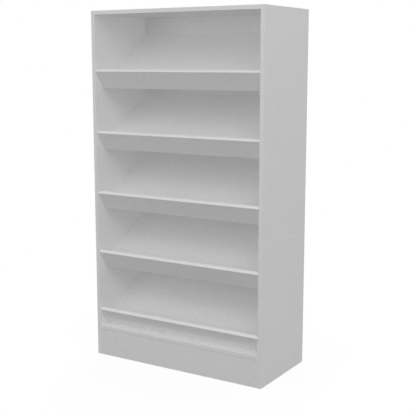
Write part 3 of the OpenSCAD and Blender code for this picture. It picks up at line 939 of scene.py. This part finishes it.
def foot_pad(feet, radius, height):
    """Pad with a rounded lower edge, a straight rim, a sloping top and the bore for the stem's pin."""
    bore = feet.pin_d / 2 + feet.fit
    rim, top = feet.pad_rim_h, feet.pad_top_d / 2
    chamfer = 0.0004
    pad = turned("pad", [
        (radius - 0.0016, 0), (radius - 0.0005, 0.0003), (radius, 0.0012),
        (radius, rim - 2 * chamfer), (radius - 1.5 * chamfer, rim),
        (top + 2 * chamfer, height - chamfer), (top, height), (bore + chamfer, height),
        (bore, height - chamfer), (bore, feet.pad_floor)], sides=48)
    smooth(pad, 30)
    return pad


def foot_stem(feet, collar_z, top):
    """Stem along Z: the pin in the pad, the spanner collar and the thread up to the height top."""
    core, pin, pin_z = feet.stem_core_d / 2, feet.pin_d / 2, feet.pad_floor + feet.fit
    collar_top = collar_z + feet.collar_h
    chamfer, pin_chamfer, into_collar = 0.0008, 0.0005, 0.001
    stem = turned("stem", [
        (pin - pin_chamfer, pin_z), (pin, pin_z + pin_chamfer), (pin, collar_z + into_collar),
        (core, collar_z + into_collar), (core, top - chamfer), (core - chamfer, top)], sides=24)
    across_corners = feet.collar_w / 2 / math.cos(math.pi / 6)
    collar = turned("collar", [
        (across_corners - chamfer, collar_z), (across_corners, collar_z + chamfer / 2),
        (across_corners, collar_top - chamfer / 2), (across_corners - chamfer, collar_top)], sides=6)
    collar.data.transform(Matrix.Rotation(math.pi / 6, 4, "Z"))
    smooth(stem, 30)
    ridge = screw_thread("thread", core, feet.stem_d / 2, feet.pitch, collar_top, top - 0.0003, steps=20)
    return join("stem", [combine(stem, [collar], "UNION"), ridge])


# Degrees round from the front towards the right, and degrees up.
SOFT_LIGHTS = {
    "key_light": (45, 35),
    "top_light": (0, 89),
    "low_front_light": (-20, 8),
    "rear_light": (-155, 8),
}
FILL_LIGHTS = {
    "right_fill": (90, 40),
    "left_fill": (-70, 20),
    "low_fill": (60, -40),
}


def aimed_light(kind, name, round_from_front, up, distance):
    """A light at a given side and height, turned to the middle of the rack."""
    turn, rise = math.radians(round_from_front), math.radians(up)
    direction = Vector((math.sin(turn) * math.cos(rise), -math.cos(turn) * math.cos(rise), math.sin(rise)))
    bpy.ops.object.light_add(type=kind, location=Vector((0, 0, TOP_Z / 2)) + direction * distance)
    lamp = bpy.context.object
    lamp.name = name
    lamp.rotation_euler = direction.to_track_quat("Z", "Y").to_euler()
    return lamp


class RACK_OT_stage(bpy.types.Operator):
    """Sets up the white floor, the soft studio light and the camera"""
    bl_idname = "rack.set_stage"
    bl_label = "Set the stage"

    def execute(self, context):
        studio = context.scene.rack_studio
        add_floor(studio)
        light_surroundings(context.scene, studio.surroundings)
        for name, (round_from_front, up) in SOFT_LIGHTS.items():
            lamp = aimed_light("AREA", name, round_from_front, up, studio.light_distance)
            lamp.data.energy = getattr(studio, name)
            lamp.data.size = studio.light_size
            lamp.visible_camera = False
        for name, (round_from_front, up) in FILL_LIGHTS.items():
            fill = aimed_light("SUN", name, round_from_front, up, studio.light_distance)
            fill.data.energy = getattr(studio, name)
            fill.data.angle = studio.fill_width
            fill.data.use_shadow = False
        bpy.ops.object.camera_add(location=studio.camera_place, rotation=studio.camera_turn)
        camera = context.object
        camera.data.sensor_width = 36.0
        camera.data.lens = studio.lens
        context.scene.camera = camera
        context.scene.view_settings.view_transform = "Standard"
        return {"FINISHED"}


def seen_directly(tree):
    """1 for the rays that should find a white background: from the camera, in gloss and through glass."""
    path = put(tree, "LightPath", {})
    either = put(tree, "Math", {0: path.outputs["Is Camera Ray"], 1: path.outputs["Is Glossy Ray"]},
                 operation="MAXIMUM")
    seen = put(tree, "Math", {0: either.outputs[0], 1: path.outputs["Is Transmission Ray"]},
               operation="MAXIMUM")
    return seen.outputs[0]


def light_surroundings(scene, strength):
    world = bpy.data.worlds.new("studio")
    scene.world = world
    world.use_nodes = True
    tree = world.node_tree
    tree.nodes.clear()
    white = put(tree, "Background", {"Color": (1, 1, 1, 1), "Strength": 1.0})
    soft = put(tree, "Background", {"Color": (1, 1, 1, 1), "Strength": strength})
    mix = put(tree, "MixShader", {0: seen_directly(tree), 1: soft.outputs[0], 2: white.outputs[0]})
    put(tree, "OutputWorld", {"Surface": mix.outputs[0]})


def add_floor(studio):
    """A floor that looks pale, fades to white away from the rack and keeps the rack's soft shadow."""
    floor = add(bpy.ops.mesh.primitive_circle_add, "floor", vertices=96, radius=studio.floor_radius,
                fill_type="NGON", location=(0, 0, -studio.floor_drop))
    material, tree, surface = new_material("pale floor")
    surface.inputs["Base Color"].default_value = (*[studio.floor_tone] * 3, 1)
    surface.inputs["Roughness"].default_value = 0.9
    matt = put(tree, "BsdfDiffuse", {"Color": (*[studio.floor_shade] * 3, 1)})
    lift = put(tree, "Emission", {"Color": (1, 1, 1, 1), "Strength": studio.floor_glow})
    near = put(tree, "AddShader", {0: matt.outputs[0], 1: lift.outputs[0]})
    white = put(tree, "Emission", {"Color": (1, 1, 1, 1), "Strength": 1.0})
    coordinates = put(tree, "TexCoord", {})
    distance = put(tree, "VectorMath", {0: coordinates.outputs["Object"]}, operation="LENGTH")
    away = put(tree, "MapRange", {"Value": distance.outputs["Value"], "From Min": studio.white_from,
                                  "From Max": studio.white_to}, interpolation_type="SMOOTHSTEP")
    shown = put(tree, "MixShader", {0: away.outputs["Result"], 1: near.outputs[0], 2: white.outputs[0]})
    mix = put(tree, "MixShader", {0: seen_directly(tree), 1: surface.outputs[0], 2: shown.outputs[0]})
    output = next(node for node in tree.nodes if node.type == "OUTPUT_MATERIAL")
    tree.links.new(mix.outputs[0], output.inputs["Surface"])
    floor.data.materials.append(material)


class RACK_PT_sidebar(bpy.types.Panel):
    bl_label = "Magazine rack"
    bl_idname = "RACK_PT_sidebar"
    bl_space_type = "VIEW_3D"
    bl_region_type = "UI"
    bl_category = "Rack"

    def draw(self, context):
        for operator in OPERATORS:
            self.layout.operator(operator.bl_idname)


GROUPS = {
    "rack_shelves": RackShelfSizes,
    "rack_cams": RackCamSizes,
    "rack_dowels": RackDowelSizes,
    "rack_screws": RackScrewSizes,
    "rack_feet": RackFootSizes,
    "rack_finish": RackFinish,
    "rack_studio": RackStudio,
}
OPERATORS = (
    RACK_OT_boards,
    RACK_OT_edge_bands,
    RACK_OT_cam_locks,
    RACK_OT_cam_bolts,
    RACK_OT_dowels,
    RACK_OT_back_screws,
    RACK_OT_foot_sockets,
    RACK_OT_feet,
    RACK_OT_stage,
)


def register():
    for name, group in GROUPS.items():
        bpy.utils.register_class(group)
        setattr(bpy.types.Scene, name, bpy.props.PointerProperty(type=group))
    for operator in OPERATORS:
        bpy.utils.register_class(operator)
    bpy.utils.register_class(RACK_PT_sidebar)


def unregister():
    bpy.utils.unregister_class(RACK_PT_sidebar)
    for operator in reversed(OPERATORS):
        bpy.utils.unregister_class(operator)
    for name, group in GROUPS.items():
        delattr(bpy.types.Scene, name)
        bpy.utils.unregister_class(group)


def main():
    register()
    bpy.ops.rack.finish_boards()
    bpy.ops.rack.add_edge_bands()
    bpy.ops.rack.add_cam_locks()
    bpy.ops.rack.add_cam_bolts()
    bpy.ops.rack.add_dowels()
    bpy.ops.rack.add_back_screws()
    bpy.ops.rack.add_foot_sockets()
    bpy.ops.rack.add_feet()
    bpy.ops.rack.set_stage()


if __name__ == "__main__":
    main()
